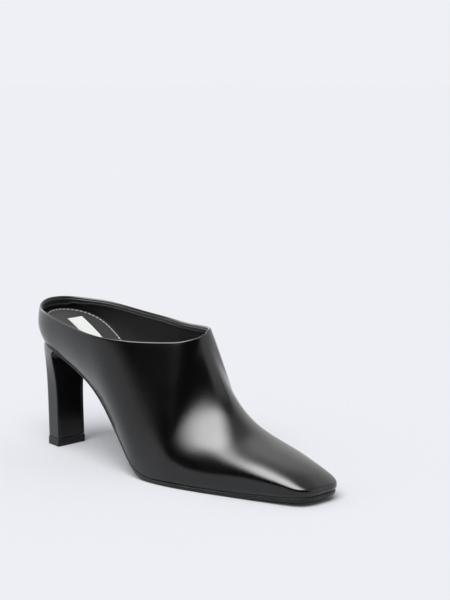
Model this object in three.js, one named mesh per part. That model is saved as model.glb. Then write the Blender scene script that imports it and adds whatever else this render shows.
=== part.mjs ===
// Heeled mule, right shoe, women's EU 37, built as a shoemaker builds it: a hollow leather upper
// drawn over the last, an insole inside it, a leather outsole from toe to heel breast, a
// leather-covered slab heel and its rubber top piece.
// Millimetres. +X points to the toe, +Y to the medial (big toe) side, +Z up, floor at z = 0.

import * as THREE from "three";

// ---- Driving dimensions ----
const WALL = 1.8;              // upper leather with its lining
const GAP = 0.3;               // air between pieces that meet
const INSOLE_GAP = 0.5;        // air round the insole, inside the wall
const INSOLE_THICKNESS = 2.8;  // board, padding and sock under the ball and toes
const SEAT_THICKNESS = 16.3;   // the insole with its seat pad under the heel
const SEAT_PAD = { back: -6, length: 70 }; // the pad thins out over this stretch
const SOLE_THICKNESS = 2.7;    // outsole under the ball and toes
const SHANK_THICKNESS = 1.3;   // outsole skived thin under the arch
const SOLE_OUTSET = 0.4;       // outsole edge beyond the feather edge
const SOLE_BEVEL = 0.7;        // rounded lower edge of the outsole
const SOLE_REAR = 15;          // the outsole starts here, in front of the heel lip
const TOP_PIECE_HEIGHT = 5.3;  // rubber tip of the heel
const TOP_PIECE_OUTSET = 0.35; // the tip stands this much proud of the covered heel
const THROAT = 131.1;          // front end of the collar opening
const FRAME_SHIFT = 107.3;     // middle of the whole length, from the heel's centre line
const FRAME_SIDE = 0.15;       // the same across the foot

// ---- The last, as sections from the back seam to the toe ----
// x, lateral and medial give the feather edge, where upper and sole meet. The wall first swells
// outwards by `out` over the height `up`, then arches to the crown line at `crown`. `square`
// goes from 1 (a gable) over 2 (an ellipse) to 5 (a box with a sharp shoulder), and `drop` is
// how far the shoulders of the toe box lie below its crown.
const SECTIONS = [
  { x: -9.5, lateral: 0.0, medial: 0.0, out: 3.8, up: 12, crown: 14, square: 2.0, drop: 0 },
  { x: -7.6, lateral: 8.8, medial: 8.6, out: 3.8, up: 12, crown: 14, square: 2.0, drop: 0 },
  { x: -2.2, lateral: 15.9, medial: 15.4, out: 4.1, up: 13, crown: 15, square: 2.0, drop: 0 },
  { x: 8, lateral: 21.4, medial: 20.8, out: 5.0, up: 17, crown: 19, square: 2.0, drop: 0 },
  { x: 22, lateral: 23.7, medial: 22.6, out: 7.4, up: 26, crown: 26, square: 2.0, drop: 0 },
  { x: 45, lateral: 25.7, medial: 22.6, out: 9.6, up: 36, crown: 45, square: 2.0, drop: 0 },
  { x: 66, lateral: 28.2, medial: 23.2, out: 8.6, up: 42, crown: 66, square: 2.0, drop: 0 },
  { x: 84, lateral: 31.5, medial: 25.4, out: 5.8, up: 34, crown: 84, square: 1.78, drop: 0 },
  { x: 100, lateral: 34.7, medial: 29.4, out: 3.3, up: 25, crown: 100, square: 1.45, drop: 0 },
  { x: 114, lateral: 36.2, medial: 33.2, out: 2.0, up: 17, crown: 114, square: 1.22, drop: 0 },
  { x: 129, lateral: 36.2, medial: 35.8, out: 1.7, up: 13, crown: 129, square: 1.12, drop: 0 },
  { x: 144, lateral: 34.4, medial: 36.2, out: 1.6, up: 9.5, crown: 144, square: 1.18, drop: 0 },
  { x: 160, lateral: 31.3, medial: 34.8, out: 1.5, up: 6.8, crown: 160, square: 1.6, drop: 1 },
  { x: 176, lateral: 27.8, medial: 31.2, out: 1.4, up: 5, crown: 176, square: 2.5, drop: 3.7 },
  { x: 192, lateral: 24.4, medial: 26.6, out: 1.3, up: 3.8, crown: 190, square: 3.6, drop: 5 },
  { x: 206, lateral: 21.3, medial: 22.2, out: 1.2, up: 3.0, crown: 200, square: 4.4, drop: 4.6 },
  { x: 216, lateral: 18.8, medial: 19.0, out: 1.1, up: 2.4, crown: 205, square: 5.0, drop: 3.2 },
  { x: 223, lateral: 15.2, medial: 15.2, out: 1.1, up: 2.0, crown: 207, square: 5.2, drop: 2 },
  { x: 226.3, lateral: 8.6, medial: 8.6, out: 1.1, up: 1.9, crown: 207.8, square: 5.2, drop: 1 },
  { x: 226.8, lateral: 0.0, medial: 0.0, out: 1.1, up: 1.9, crown: 208, square: 5.2, drop: 0.7 },
];
const CROWN_ROUNDING = 0.16;   // rounds the crown where the sections are gables
const BELLY_SHARE = 0.3;       // share of a section's steps below its widest point

// The height of the feather edge along the foot: heel seat, shank, ball and toe spring.
const FEATHER = [
  { x: -25, z: 77.6 }, { x: -4, z: 72.4 }, { x: 21, z: 65.9 }, { x: 45, z: 56.4 },
  { x: 59, z: 48.0 }, { x: 68.5, z: 40.0 }, { x: 80, z: 28.4 }, { x: 90.5, z: 17.4 },
  { x: 101, z: 7.6 }, { x: 110, z: 3.8 }, { x: 121, z: 3.0 }, { x: 150, z: 3.0 },
  { x: 175, z: 3.5 }, { x: 200, z: 4.7 }, { x: 227, z: 6.4 }, { x: 240, z: 7.3 },
];

// The crown line in side view. Behind the throat it only carries the sides over the opening.
const CROWN = [
  { x: -20, z: 122 }, { x: 14, z: 124 }, { x: 45, z: 129 }, { x: 80, z: 131 },
  { x: 100, z: 128.5 }, { x: 110, z: 124 }, { x: 120, z: 115 }, { x: 127, z: 103 },
  { x: THROAT, z: 89.7 }, { x: 132.6, z: 83.3 }, { x: 135, z: 76 }, { x: 140.9, z: 64 },
  { x: 149.4, z: 50.8 }, { x: 161, z: 38.6 }, { x: 175, z: 30.9 }, { x: 190, z: 26.4 }, { x: 205, z: 22 },
  { x: 216, z: 17.8 }, { x: 227, z: 12.8 }, { x: 240, z: 6.5 },
];

// The topline: a low peak on the back seam, a long shallow dip, and up to the throat.
const TOPLINE = [
  { x: -30, lateral: 98.6, medial: 98.6 }, { x: -12, lateral: 97.8, medial: 97.8 },
  { x: -4, lateral: 94.9, medial: 96.4 }, { x: 10, lateral: 93.1, medial: 94.8 },
  { x: 22, lateral: 91.4, medial: 93.1 }, { x: 40, lateral: 88.6, medial: 90.8 },
  { x: 60, lateral: 86.0, medial: 89.2 }, { x: 80, lateral: 84.6, medial: 88.7 },
  { x: 100, lateral: 84.2, medial: 89.8 }, { x: 118, lateral: 84.9, medial: 91.1 },
  { x: 126, lateral: 86.0, medial: 91.5 }, { x: THROAT, lateral: 87.8, medial: 91.6 },
  { x: 142, lateral: 92, medial: 93 },
];
const TOPLINE_BLEND = 8;       // half width over which the two sides' heights run together

// Heel block: a slab, wide across the foot and thin from front to back.
const HEEL_BASE = {
  back: -7.9, front: 6.1, backMedial: 9.0, frontMedial: 11.0, backLateral: 9.6, frontLateral: 12.4,
};
const HEEL_CORNER = { back: 3.2, front: 0.8 };
const HEEL_RAKE = 1.9;         // the block leans back by this much towards the seat
const BACK_FLARE = 4;          // its back keeps its line for long, then runs out to the seat
const SIDE_FLARE = 5;          // so do its sides
const LIP_FLARE = 14;          // and the breast curves forward only under the sole
const SEAT_INSET = 0.3;

// How finely each surface is divided.
const STEPS_ALONG = 46;
const STEPS_BEHIND = 26;       // those of them behind the throat
const CLOSING = { behind: 0.45, ahead: 0.35 }; // how far they close up towards the throat
const STEPS_UP = 14;
const INSOLE_STEPS = 44;
const INSOLE_LEVELS = 4;
const INSOLE_FOOT = 1.5;       // the insole's edge stands this far up before it meets the wall
const SOLE_STEPS = 44;
const SOLE_BEVEL_SHARE = 0.3;  // the bevel's share of the outsole's thickness
const HEEL_LEVELS = 14;
const HEEL_CROWDING = 1.8;     // the heel's levels close up towards the seat

// ---- Curves ----

// A smooth curve through the given values: a natural cubic spline.
function splineThrough(knots, values) {
  const n = knots.length;
  const h = knots.slice(1).map((k, i) => k - knots[i]);
  const slope = h.map((step, i) => (values[i + 1] - values[i]) / step);
  const bend = new Array(n).fill(0);
  const diagonal = new Array(n).fill(1);
  for (let i = 1; i < n - 1; i++) {
    const below = i > 1 ? h[i - 1] / diagonal[i - 1] : 0;
    diagonal[i] = 2 * (h[i - 1] + h[i]) - (i > 1 ? below * h[i - 1] : 0);
    bend[i] = 6 * (slope[i] - slope[i - 1]) - (i > 1 ? below * bend[i - 1] : 0);
  }
  for (let i = n - 2; i > 0; i--) {
    bend[i] = (bend[i] - (i < n - 2 ? h[i] * bend[i + 1] : 0)) / diagonal[i];
  }
  return (at) => {
    let i = 0;
    while (i < n - 2 && at > knots[i + 1]) i++;
    const a = (knots[i + 1] - at) / h[i];
    const b = 1 - a;
    const sag = ((a ** 3 - a) * bend[i] + (b ** 3 - b) * bend[i + 1]) * h[i] ** 2 / 6;
    return a * values[i] + b * values[i + 1] + sag;
  };
}

const columnOf = (table, name) => splineThrough(table.map((r) => r.x), table.map((r) => r[name]));
const featherHeight = columnOf(FEATHER, "z");
const crownHeight = columnOf(CROWN, "z");
const toplineLateral = columnOf(TOPLINE, "lateral");
const toplineMedial = columnOf(TOPLINE, "medial");

const smoothStep = (a) => { const t = Math.min(Math.max(a, 0), 1); return t * t * (3 - 2 * t); };

function toplineHeight(x, y) {
  const side = smoothStep((y + TOPLINE_BLEND) / (2 * TOPLINE_BLEND));
  return toplineLateral(x) * (1 - side) + toplineMedial(x) * side;
}

// Each section's place along the foot, 0 at the back seam and 1 at the toe, goes by the distance
// between neighbouring sections on the outline.
const PLACES = [0];
for (let i = 1; i < SECTIONS.length; i++) {
  const [a, b] = [SECTIONS[i - 1], SECTIONS[i]];
  const across = (b.lateral + b.medial - a.lateral - a.medial) / 2;
  PLACES.push(PLACES[i - 1] + Math.hypot(b.x - a.x, across));
}
const outlineLength = PLACES[PLACES.length - 1];
PLACES.forEach((place, i) => { PLACES[i] = place / outlineLength; });

// One column of the sections along one side. The other side's rows carry it on past the back
// seam and the toe, so that the two sides join smoothly.
function alongSide(side, read) {
  const other = -side;
  const last = SECTIONS.length - 1;
  const overlap = 6;
  const knots = [];
  const values = [];
  for (let i = overlap; i > 0; i--) {
    knots.push(-PLACES[i]);
    values.push(read(SECTIONS[i], other));
  }
  SECTIONS.forEach((row, i) => {
    knots.push(PLACES[i]);
    values.push(read(row, side));
  });
  for (let i = 1; i <= overlap; i++) {
    knots.push(2 - PLACES[last - i]);
    values.push(read(SECTIONS[last - i], other));
  }
  return splineThrough(knots, values);
}

const LATERAL = -1;
const MEDIAL = 1;
const halfWidth = (row, side) => (side < 0 ? -row.lateral : row.medial);
const SIDES = new Map([LATERAL, MEDIAL].map((side) => [side, {
  x: alongSide(side, (row) => row.x),
  y: alongSide(side, halfWidth),
  middle: alongSide(side, (row) => (row.medial - row.lateral) / 2),
  out: alongSide(side, (row) => row.out),
  up: alongSide(side, (row) => row.up),
  crown: alongSide(side, (row) => row.crown),
  square: alongSide(side, (row) => row.square),
  drop: alongSide(side, (row) => row.drop),
}]));

// A point of the last's surface: t runs from the back seam to the toe, v from the feather edge
// (0) to the crown (1). Past v = 1 the surface goes down the other side.
function lastPoint(side, t, v) {
  if (v > 1) return lastPoint(-side, t, 2 - v);
  const row = SIDES.get(side);
  const foot = new THREE.Vector3(row.x(t), row.y(t), featherHeight(row.x(t)));
  const crownX = row.crown(t);
  const crownY = row.middle(t);
  const away = new THREE.Vector2(foot.x - crownX, foot.y - crownY).normalize();
  const belly = new THREE.Vector3(away.x, away.y, 0).multiplyScalar(row.out(t)).add(foot);
  belly.z += row.up(t);
  if (v < BELLY_SHARE) {
    const w = v / BELLY_SHARE;
    const swell = 1 - (1 - w) ** 2;
    return new THREE.Vector3(
      foot.x + (belly.x - foot.x) * swell,
      foot.y + (belly.y - foot.y) * swell,
      foot.z + (belly.z - foot.z) * w,
    );
  }
  const n = row.square(t);
  const angle = ((v - BELLY_SHARE) / (1 - BELLY_SHARE)) * (Math.PI / 2);
  const size = (Math.cos(angle) ** n + Math.sin(angle) ** n) ** (1 / n);
  const rise = Math.sin(angle) / size;
  const flat = CROWN_ROUNDING ** n;
  const spread = (Math.cos(angle) / size) ** n * ((1 + CROWN_ROUNDING ** 2) ** (n / 2) - flat);
  const reach = Math.sqrt(Math.max((spread + flat) ** (2 / n) - CROWN_ROUNDING ** 2, 0));
  const x = crownX + (belly.x - crownX) * reach;
  const y = crownY + (belly.y - crownY) * reach;
  const roof = crownHeight(x) - row.drop(t) * reach ** 2;
  return new THREE.Vector3(x, y, belly.z + (roof - belly.z) * rise);
}

// The same point moved inwards, square to the surface, by a depth.
function insidePoint(side, t, v, depth) {
  const dt = 0.002;
  const dv = 0.01;
  if (v === 1) {
    const crest = lastPoint(side, t, 1);
    const slope = crownHeight(crest.x + 0.5) - crownHeight(crest.x - 0.5);
    return crest.add(new THREE.Vector3(slope, 0, -1).setLength(depth));
  }
  const low = Math.max(v - dv, 0);
  const alongFoot = lastPoint(side, t + dt, v).sub(lastPoint(side, t - dt, v));
  const upWall = lastPoint(side, t, v + dv).sub(lastPoint(side, t, low));
  const inward = upWall.cross(alongFoot).normalize().multiplyScalar(-side * depth);
  return lastPoint(side, t, v).add(inward);
}

// Where the topline cuts the section at t: 1 in front of the throat.
function collarPlace(side, t) {
  const above = (v) => {
    const p = lastPoint(side, t, v);
    return p.z - toplineHeight(p.x, p.y);
  };
  if (above(1) <= 0) return 1;
  let [low, high] = [0, 1];
  for (let i = 0; i < 40; i++) {
    const middle = (low + high) / 2;
    if (above(middle) > 0) high = middle; else low = middle;
  }
  return high;
}

// The place t on the medial and lateral sides where the outline reaches a given x.
function placeAt(x) {
  let [low, high] = [0, 1];
  for (let i = 0; i < 40; i++) {
    const middle = (low + high) / 2;
    if (SIDES.get(LATERAL).x(middle) > x) high = middle; else low = middle;
  }
  return high;
}

// ---- Building closed meshes ----

class Skin {
  constructor() { this.corners = []; }
  triangle(a, b, c) {
    const area = b.clone().sub(a).cross(c.clone().sub(a)).length();
    if (area > 1e-7) this.corners.push(...a.toArray(), ...b.toArray(), ...c.toArray());
  }
  quad(a, b, c, d) { this.triangle(a, b, c); this.triangle(a, c, d); }
  // Rows of points of equal length, joined into a sheet; `closed` joins each row's ends too.
  sheet(rows, closed = false) {
    const columns = rows[0].length;
    for (let i = 0; i < rows.length - 1; i++) {
      for (let j = 0; j < (closed ? columns : columns - 1); j++) {
        const k = (j + 1) % columns;
        this.quad(rows[i][j], rows[i][k], rows[i + 1][k], rows[i + 1][j]);
      }
    }
  }
  piece(name, colour, roughness) {
    const geometry = new THREE.BufferGeometry();
    geometry.setAttribute("position", new THREE.Float32BufferAttribute(this.corners, 3));
    geometry.translate(-FRAME_SHIFT, FRAME_SIDE, 0);
    const material = new THREE.MeshStandardMaterial({ color: colour, roughness, metalness: 0 });
    const mesh = new THREE.Mesh(geometry, material);
    mesh.name = name;
    return mesh;
  }
}

// ---- Upper: one shell, open at the collar and underneath ----

function buildUpper() {
  // Steps along the foot: even behind and ahead of the throat, and closing up towards it, where
  // the collar turns sharply across the instep.
  const throatPlace = placeAt(THROAT);
  const behind = STEPS_BEHIND;
  const places = [];
  for (let i = 0; i < behind; i++) {
    const s = i / behind;
    places.push(throatPlace * (s + CLOSING.behind * s * (1 - s) * s));
  }
  for (let i = behind; i <= STEPS_ALONG; i++) {
    const s = (i - behind) / (STEPS_ALONG - behind);
    places.push(throatPlace + (1 - throatPlace) * (s - CLOSING.ahead * s * (1 - s) * (1 - s)));
  }
  places[0] = 0;
  places[STEPS_ALONG] = 1;

  const point = (side, i, k, depth) => {
    const t = places[i];
    const shared = i === 0 || i === STEPS_ALONG || (k === STEPS_UP && i >= behind);
    const s = shared ? LATERAL : side;
    const top = i >= behind ? 1 : collarPlace(s, t);
    return insidePoint(s, t, (top * k) / STEPS_UP, depth);
  };
  const skin = new Skin();
  for (const side of [LATERAL, MEDIAL]) {
    const rows = (depth) => places.map((_, i) => (
      Array.from({ length: STEPS_UP + 1 }, (_, k) => point(side, i, k, depth))
    ));
    const [outer, inner] = [rows(0), rows(WALL)];
    const facing = (sheet) => (side > 0 ? sheet.map((row) => [...row].reverse()) : sheet);
    skin.sheet(facing(outer).map((row) => [...row].reverse()));
    skin.sheet(facing(inner));
    const rim = [outer, inner].map((sheet) => sheet.slice(0, behind + 1).map((r) => r[STEPS_UP]));
    const foot = [inner, outer].map((sheet) => sheet.map((r) => r[0]));
    skin.sheet(side > 0 ? rim.reverse() : rim);
    skin.sheet(side > 0 ? foot.reverse() : foot);
  }
  return skin.piece("upper", 0x141416, 0.28);
}

// ---- Flat pieces that follow the feather edge: insole and outsole ----

// A point of the feather edge moved outwards in plan by `outset` (inwards when negative).
function edgePoint(side, t, outset) {
  const row = SIDES.get(side);
  const dt = 0.002;
  const along = new THREE.Vector2(row.x(t + dt) - row.x(t - dt), row.y(t + dt) - row.y(t - dt));
  along.normalize();
  const outward = new THREE.Vector2(-along.y, along.x).multiplyScalar(side * outset);
  return new THREE.Vector2(row.x(t) + outward.x, row.y(t) + outward.y);
}

// Closes a stack of bars: bars[i][k] runs across the foot at place i and level k.
function skinBars(bars) {
  const skin = new Skin();
  const top = bars[0].length - 1;
  const end = bars.length - 1;
  const across = bars[0][0].length - 1;
  skin.sheet(bars.map((bar) => bar[0]));
  skin.sheet(bars.map((bar) => bar[top]).reverse());
  for (let k = 0; k < top; k++) {
    skin.sheet([bars.map((bar) => bar[k][0]), bars.map((bar) => bar[k + 1][0])]);
    skin.sheet([bars.map((bar) => bar[k + 1][across]), bars.map((bar) => bar[k][across])]);
    skin.sheet([bars[0][k + 1], bars[0][k]]);
    skin.sheet([bars[end][k], bars[end][k + 1]]);
  }
  return skin;
}

// A plate between two heights that vary along x, from place `from` to the toe. `layers` give
// its edge from bottom to top: outset of the outline and height.
function buildPlate(from, steps, across, layers) {
  const places = Array.from({ length: steps + 1 }, (_, i) => from + ((1 - from) * i) / steps);
  const bars = places.map((t) => {
    const shared = t === 0 || t === 1;
    return layers.map(({ outset, height }) => {
      const ends = [LATERAL, MEDIAL].map((side) => edgePoint(shared ? LATERAL : side, t, outset));
      if (shared) ends[1] = ends[0];
      return Array.from({ length: across + 1 }, (_, j) => {
        const p = ends[0].clone().lerp(ends[1], j / across);
        return new THREE.Vector3(p.x, p.y, height(p.x));
      });
    });
  });
  return skinBars(bars);
}

const insoleThickness = (x) => (
  SEAT_THICKNESS
    + (INSOLE_THICKNESS - SEAT_THICKNESS) * smoothStep((x - SEAT_PAD.back) / SEAT_PAD.length)
);

// The insole fills the shell's floor: its edge follows the inside of the wall upwards.
function buildInsole() {
  const levels = INSOLE_LEVELS;
  const across = 4;
  const depth = WALL + INSOLE_GAP;
  const edge = (side, t, level) => {
    const floor = featherHeight(SIDES.get(side).x(t));
    const start = insidePoint(side, t, 0, depth + INSOLE_GAP);
    if (level === 0) return start.setZ(floor);
    const rise = insoleThickness(start.x) - INSOLE_FOOT;
    const height = floor + INSOLE_FOOT + rise * (level / levels);
    let [low, high] = [0, 0.9];
    for (let i = 0; i < 30; i++) {
      const middle = (low + high) / 2;
      if (insidePoint(side, t, middle, depth).z > height) high = middle; else low = middle;
    }
    return insidePoint(side, t, high, depth);
  };
  const steps = INSOLE_STEPS;
  const bars = Array.from({ length: steps + 1 }, (_, i) => {
    const t = i / steps;
    const shared = i === 0 || i === steps;
    return Array.from({ length: levels + 1 }, (_, level) => {
      const lateral = edge(LATERAL, t, level);
      const medial = shared ? lateral : edge(MEDIAL, t, level);
      return Array.from({ length: across + 1 }, (_, j) => lateral.clone().lerp(medial, j / across));
    });
  });
  return skinBars(bars).piece("insole", 0x3a3a3d, 0.6);
}

const soleThickness = (x) => (
  SHANK_THICKNESS + (SOLE_THICKNESS - SHANK_THICKNESS) * smoothStep((x - 88) / 24)
);
const soleTop = (x) => featherHeight(x) - GAP;
const soleBottom = (x) => Math.max(soleTop(x) - soleThickness(x), 0);

function buildOutsole() {
  const bevelled = (x) => soleBottom(x) + (soleTop(x) - soleBottom(x)) * SOLE_BEVEL_SHARE;
  const layers = [
    { outset: SOLE_OUTSET - SOLE_BEVEL, height: soleBottom },
    { outset: SOLE_OUTSET, height: bevelled },
    { outset: SOLE_OUTSET, height: soleTop },
  ];
  return buildPlate(placeAt(SOLE_REAR + GAP), SOLE_STEPS, 6, layers).piece("outsole", 0x101011, 0.5);
}

// ---- Heel block and top piece ----

// The section of the block in plan, front edge first, then round by the medial side: straight
// sides that close in towards the back, with small round corners.
function slabOutline(outset) {
  const { back, front, backMedial, frontMedial, backLateral, frontLateral } = HEEL_BASE;
  const corners = [
    { x: front + outset, y: frontMedial + outset, round: HEEL_CORNER.front, steps: 3 },
    { x: back - outset, y: backMedial + outset, round: HEEL_CORNER.back, steps: 5 },
    { x: back - outset, y: -backLateral - outset, round: HEEL_CORNER.back, steps: 5 },
    { x: front + outset, y: -frontLateral - outset, round: HEEL_CORNER.front, steps: 3 },
  ];
  const outline = [];
  corners.forEach((corner, i) => {
    const here = new THREE.Vector2(corner.x, corner.y);
    const toward = (other) => {
      const step = new THREE.Vector2(other.x, other.y).sub(here).normalize();
      return here.clone().addScaledVector(step, corner.round);
    };
    const start = toward(corners[(i + 3) % 4]);
    const end = toward(corners[(i + 1) % 4]);
    const arc = new THREE.QuadraticBezierCurve(start, here, end);
    outline.push(...arc.getPoints(corner.steps));
    if (i % 2 === 0) {
      const next = corners[(i + 1) % 4];
      const landing = new THREE.Vector2(next.x, next.y);
      landing.addScaledVector(here.clone().sub(landing).normalize(), next.round);
      for (const share of [0.25, 0.5, 0.75]) outline.push(end.clone().lerp(landing, share));
    }
  });
  return outline;
}

// The matching outline of the heel seat: the feather edge from the lip round the back.
function seatOutline(count) {
  const lip = placeAt(SOLE_REAR);
  return Array.from({ length: count }, (_, i) => {
    const run = 1 - (2 * i) / (count - 1);
    const side = run > 0 ? MEDIAL : LATERAL;
    return edgePoint(side, lip * Math.abs(run), -SEAT_INSET);
  });
}

// Rings of points joined up the sides and closed by strips across the bottom and the top.
function closeRings(rings) {
  const skin = new Skin();
  skin.sheet(rings, true);
  for (const [ring, upward] of [[rings[0], false], [rings[rings.length - 1], true]]) {
    const n = ring.length;
    for (let i = 0; i < Math.floor((n - 1) / 2); i++) {
      const quad = [ring[i], ring[i + 1], ring[n - 2 - i], ring[n - 1 - i]];
      if (!upward) quad.reverse();
      skin.quad(...quad);
    }
  }
  return skin;
}

function buildHeel() {
  const base = slabOutline(0);
  const seat = seatOutline(base.length);
  const bottom = TOP_PIECE_HEIGHT + GAP;
  const rings = Array.from({ length: HEEL_LEVELS + 1 }, (_, level) => {
    const height = 1 - (1 - level / HEEL_LEVELS) ** HEEL_CROWDING;
    return base.map((b, i) => {
      const lean = height ** (seat[i].x > b.x ? LIP_FLARE : BACK_FLARE);
      const x = b.x + (seat[i].x - b.x) * lean - HEEL_RAKE * height * (1 - lean);
      const y = b.y + (seat[i].y - b.y) * height ** SIDE_FLARE;
      return new THREE.Vector3(x, y, bottom + (soleTop(x) - bottom) * height);
    });
  });
  return closeRings(rings).piece("heel", 0x151517, 0.28);
}

function buildTopPiece() {
  const rings = [0, TOP_PIECE_HEIGHT].map((z) => (
    slabOutline(TOP_PIECE_OUTSET).map((p) => new THREE.Vector3(p.x, p.y, z))
  ));
  return closeRings(rings).piece("top_piece", 0x0d0d0e, 0.55);
}

const mule = new THREE.Group();
mule.add(buildUpper(), buildInsole(), buildOutsole(), buildHeel(), buildTopPiece());
export default mule;
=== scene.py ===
import math

import bpy
import numpy as np
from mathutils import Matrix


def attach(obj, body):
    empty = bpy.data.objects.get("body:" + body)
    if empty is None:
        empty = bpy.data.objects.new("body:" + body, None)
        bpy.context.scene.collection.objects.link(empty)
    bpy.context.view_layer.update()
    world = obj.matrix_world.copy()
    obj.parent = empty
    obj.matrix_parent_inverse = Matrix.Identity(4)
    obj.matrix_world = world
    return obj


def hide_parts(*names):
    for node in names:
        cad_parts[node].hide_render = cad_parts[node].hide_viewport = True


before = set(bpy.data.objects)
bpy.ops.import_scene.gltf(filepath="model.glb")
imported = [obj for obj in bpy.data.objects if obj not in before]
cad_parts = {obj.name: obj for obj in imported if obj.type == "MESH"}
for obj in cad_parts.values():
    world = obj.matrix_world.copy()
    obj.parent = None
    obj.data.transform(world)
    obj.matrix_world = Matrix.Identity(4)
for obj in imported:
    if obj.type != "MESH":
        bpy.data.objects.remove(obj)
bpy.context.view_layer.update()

# ---- Camera ----
# The lateral side of a right shoe from the front quarter, a hand's height above the floor, on a
# long lens. The shoe stands at the origin with its toe towards +X.
CAMERA_TURN = math.radians(43.44)
CAMERA_PITCH = math.radians(8.8)
CAMERA_PLACE = (0.763, -0.76325, 0.2757)

scene = bpy.context.scene
lens = bpy.data.cameras.new("long_lens")
lens.lens = 104.9
lens.clip_start = 0.01
lens.clip_end = 50
camera = bpy.data.objects.new("camera", lens)
camera.location = CAMERA_PLACE
camera.rotation_euler = (math.pi / 2 - CAMERA_PITCH, 0, CAMERA_TURN)
scene.collection.objects.link(camera)
scene.camera = camera
scene.view_settings.view_transform = "Standard"

# ---- Floor and light ----
# A pale studio table without an edge, a six-sided soft box above and in front of the shoe, a
# white wall behind, a white card on the left and a dark room on the camera's side.
BACKDROP = (0.855, 0.871, 0.913, 1)
FLOOR_RADIUS, FLOOR_CORNERS = 8.0, 96
SOFT_BOX_LIGHT = 13.0
# Each side of the soft box, on a level ceiling one unit up: the weights of the places across and
# along, the offset that makes their sum positive inside, and half the width of the soft edge.
SOFT_BOX_SIDES = (
    (-1, 0.24, 0.76, 0.22), (-1, -0.40, 0.62, 0.22), (1, -0.45, 0.30, 0.15),
    (1, 0.36, 0.66, 0.15), (0, 1, 1.22, 0.52), (0, -1, 0.01, 0.26),
)
ROOM_LIGHT = 0.01
WALL_LIGHT = 1.1
WALL_LOW_LIGHT = 0.45
CEILING_LIGHT = {"middle": 0.65, "left": 1.7}
SLOT_PLACE, SLOT_LIGHT = 0.67, 0.25
CARD_LIGHT, CARD_END_LIGHT = 0.85, 2.2
# Where the wall, ceiling, slot and card start and end, as parts of the direction looked in.
WALL_SLANT = {"across": -0.27, "up": 0.37}
WALL_EDGE = (-0.05, 0.08)
WALL_FOOT = (0.35, 0.0)
WALL_LEFT = (0.1, -0.3)
CEILING_RISE = (0.6, 0.8)
CEILING_LEFT = (-0.2, -0.45)
SLOT_EDGE = (0.06, 0.20)
CARD_SIDE = (0.02, -0.10)
CARD_END = (-0.68, -0.85)
CARD_TOP, CARD_TOP_SOFT = 0.17, 0.03
CARD_RISE_START, CARD_RISE = -0.5, -0.9
AMBIENT = 0.36
SUN_STRENGTH = 2.32
SUN_ANGLE = math.radians(48)
SUN_TILT = (math.radians(30), math.radians(18), 0)


def new_material(name, **values):
    """A material, its node tree and its shader, with values set by the shader's socket names."""
    material = bpy.data.materials.new(name)
    material.use_nodes = True
    shader = material.node_tree.nodes["Principled BSDF"]
    for socket, value in values.items():
        shader.inputs[socket.replace("_", " ")].default_value = value
    return material, material.node_tree, shader


def staged(name, corners, material, unseen_by=()):
    """One flat panel of the studio, which isn't part of the shoe."""
    mesh = bpy.data.meshes.new(name)
    mesh.from_pydata(corners, [], [list(range(len(corners)))])
    mesh.materials.append(material)
    panel = bpy.data.objects.new(name, mesh)
    scene.collection.objects.link(panel)
    for ray in unseen_by:
        setattr(panel, "visible_" + ray, False)


table_top, _, _ = new_material("table_top", Base_Color=(0.875, 0.893, 0.936, 1), Roughness=0.9,
                               Specular_IOR_Level=0.0)
staged("floor", [(FLOOR_RADIUS * math.cos(a), FLOOR_RADIUS * math.sin(a), 0)
                 for a in np.linspace(0, 2 * math.pi, FLOOR_CORNERS + 1)[:-1]], table_top)

sun = bpy.data.lights.new("soft_box_light", "SUN")
sun.energy = SUN_STRENGTH
sun.angle = SUN_ANGLE
sun_object = bpy.data.objects.new("soft_box_light", sun)
sun_object.rotation_euler = SUN_TILT
sun_object.visible_glossy = False
scene.collection.objects.link(sun_object)

# A low black flag on the far side keeps the table's shine off the heel's breast.
FLAG_CORNERS = ((-0.090, 0.080), (-0.025, 0.040))
FLAG_FOOT, FLAG_TOP = 0.002, 0.050
(flag_ax, flag_ay), (flag_bx, flag_by) = FLAG_CORNERS
flag_cloth, _, _ = new_material("flag_cloth", Base_Color=(0, 0, 0, 1), Roughness=1.0)
staged("black_flag", [(flag_ax, flag_ay, FLAG_FOOT), (flag_bx, flag_by, FLAG_FOOT),
                      (flag_bx, flag_by, FLAG_TOP), (flag_ax, flag_ay, FLAG_TOP)],
       flag_cloth, unseen_by=("camera", "diffuse", "shadow"))

studio = bpy.data.worlds.new("studio")
studio.use_nodes = True
studio.cycles.sampling_method = "NONE"
scene.world = studio
sky = studio.node_tree
sky.nodes.clear()


def wire(tree, kind, inputs=(), **settings):
    """Adds a node, sets its properties, and links or sets its inputs in order."""
    node = tree.nodes.new(kind)
    for name, value in settings.items():
        setattr(node, name, value)
    for place, value in (inputs.items() if isinstance(inputs, dict) else enumerate(inputs)):
        if isinstance(value, bpy.types.NodeSocket):
            tree.links.new(value, node.inputs[place])
        else:
            node.inputs[place].default_value = value
    return node


def maths(tree, operation, *inputs):
    return wire(tree, "ShaderNodeMath", inputs, operation=operation).outputs[0]


def rise(tree, value, start, end):
    """0 below start, 1 above end, with a soft step between them."""
    node = wire(tree, "ShaderNodeMapRange", {"Value": value, "From Min": start, "From Max": end},
                interpolation_type="SMOOTHSTEP")
    return node.outputs["Result"]


def blend(tree, share, first, second):
    node = wire(tree, "ShaderNodeMix", {"Factor": share, "A": first, "B": second})
    return node.outputs[0]


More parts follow.
